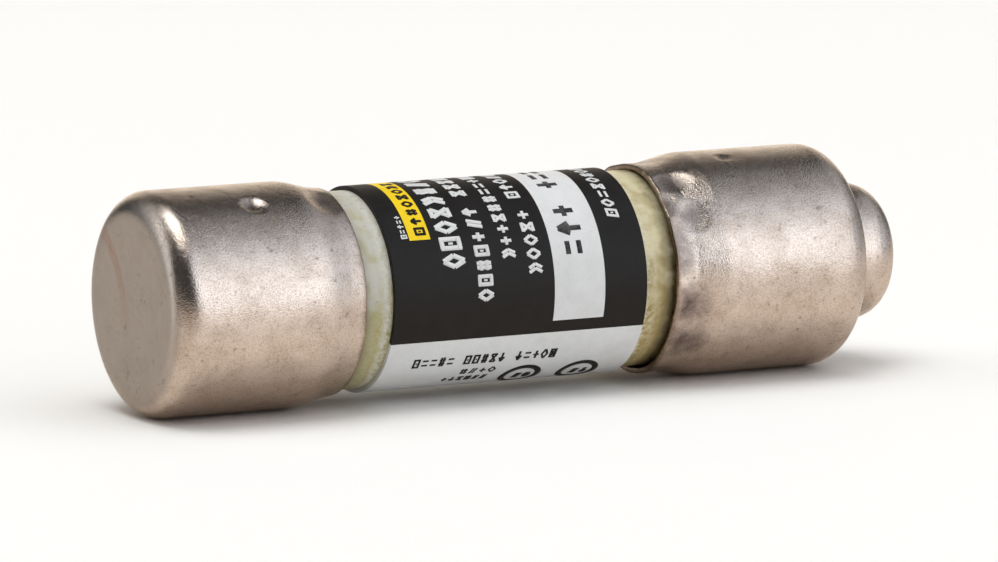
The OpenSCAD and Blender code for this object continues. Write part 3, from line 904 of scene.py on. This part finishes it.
make_ferrule(rejection_cup, rejection_dents, "rejection_ferrule", open_rim, 1, 0.25 * MM, 8.0)

# --------------------------------------
# Studio. A white floor, a large soft light in front and above, a weaker one behind, and a
# dim room, which the metal shows as a dark band near its top. A warm bench top, seen only
# by what mirrors it, gives the underside of the metal its brown.

floor_half = 1.5


def level_sheet(name, z, hex_colour, roughness):
    """A plain sheet of the studio, lying level."""
    corners = [(floor_half * x, floor_half * y, z) for x, y in ((-1, -1), (1, -1), (1, 1), (-1, 1))]
    sheet = new_piece(name, corners, faces=[(0, 1, 2, 3)])
    finish = new_material(name, Roughness=roughness, Base_Color=linear(hex_colour))[0]
    sheet.data.materials.append(finish)
    return sheet


bench_rise = 0.01 * MM            # keeps the bench top clear of the floor
white_floor = level_sheet("white_floor", plain_low.z, "#F5F4F1", 0.8)
white_floor.visible_glossy = False
bench_top = level_sheet("bench_top", plain_low.z + bench_rise, "#EDE0D2", 0.3)
bench_top.visible_camera = False
bench_top.visible_diffuse = False
bench_top.visible_shadow = False

world = bpy.data.worlds.new("dim_room")
world.use_nodes = True
room = world.node_tree.nodes["Background"]
room.inputs["Color"].default_value = linear("#FFFFFF")
room.inputs["Strength"].default_value = 0.06
bpy.context.scene.world = world


def soft_light(name, azimuth, elevation, distance, width, height, strength, colour="#FFFFFF"):
    """A rectangular soft box that faces the fuse. Azimuth 0 is in front, at -Y."""
    light = bpy.data.lights.new(name, "AREA")
    light.shape = "RECTANGLE"
    light.size = width
    light.size_y = height
    light.energy = strength * width * height * math.pi
    light.color = linear(colour)[:3]
    box = bpy.data.objects.new(name, light)
    az, el = math.radians(azimuth), math.radians(elevation)
    towards = Vector((math.sin(az) * math.cos(el), -math.cos(az) * math.cos(el), math.sin(el)))
    box.location = towards * distance
    box.rotation_euler = towards.to_track_quat("Z", "Y").to_euler()
    bpy.context.scene.collection.objects.link(box)
    return box


# azimuth, elevation, distance, width, height and strength. The front light is brightest in its
# middle: four boxes, each smaller than the last
COOL = "#EEF4FF"
WARM = "#FFF0DC"
soft_light("front_outer", 60, 31, 0.94, 2.2, 1.5, 0.46, COOL)
soft_light("front_wide", 36, 26, 0.92, 1.4, 1.2, 0.44, COOL)
soft_light("front_near", 28, 18, 0.9, 0.72, 0.92, 0.4)
soft_light("front_middle", 27, 15, 0.88, 0.36, 0.5, 0.46)
soft_light("left_panel", -128, 29, 0.9, 0.7, 1.05, 0.5)
soft_light("left_strip", -116, 18, 0.88, 0.26, 0.62, 1.4)
soft_light("back_panel", 155, 17, 0.94, 0.9, 0.58, 0.52, WARM)
soft_light("back_low", 155, 7, 0.9, 0.66, 0.26, 0.6, WARM)
soft_light("ceiling_lamp", -90, 81, 0.9, 0.56, 0.5, 4.0)
ceiling_fill = soft_light("ceiling_fill", 0, 89, 0.95, 1.6, 1.6, 0.75)
ceiling_fill.visible_glossy = False

camera_data = bpy.data.cameras.new("camera")
camera_data.sensor_width = 36.0
camera_data.lens = 341.2
camera_data.clip_start = 0.01
camera = bpy.data.objects.new("camera", camera_data)
view_azimuth = math.radians(-27.105)
view_elevation = math.radians(8.816)
view_distance = 432.99 * MM
aim = Vector((-0.492 * MM, 0, -0.158 * MM))
view_back = Vector((math.sin(view_azimuth) * math.cos(view_elevation),
                    -math.cos(view_azimuth) * math.cos(view_elevation), math.sin(view_elevation)))
camera.location = aim + view_back * view_distance
camera.rotation_euler = view_back.to_track_quat("Z", "Y").to_euler()
bpy.context.scene.collection.objects.link(camera)
bpy.context.scene.camera = camera
bpy.context.scene.view_settings.view_transform = "Standard"
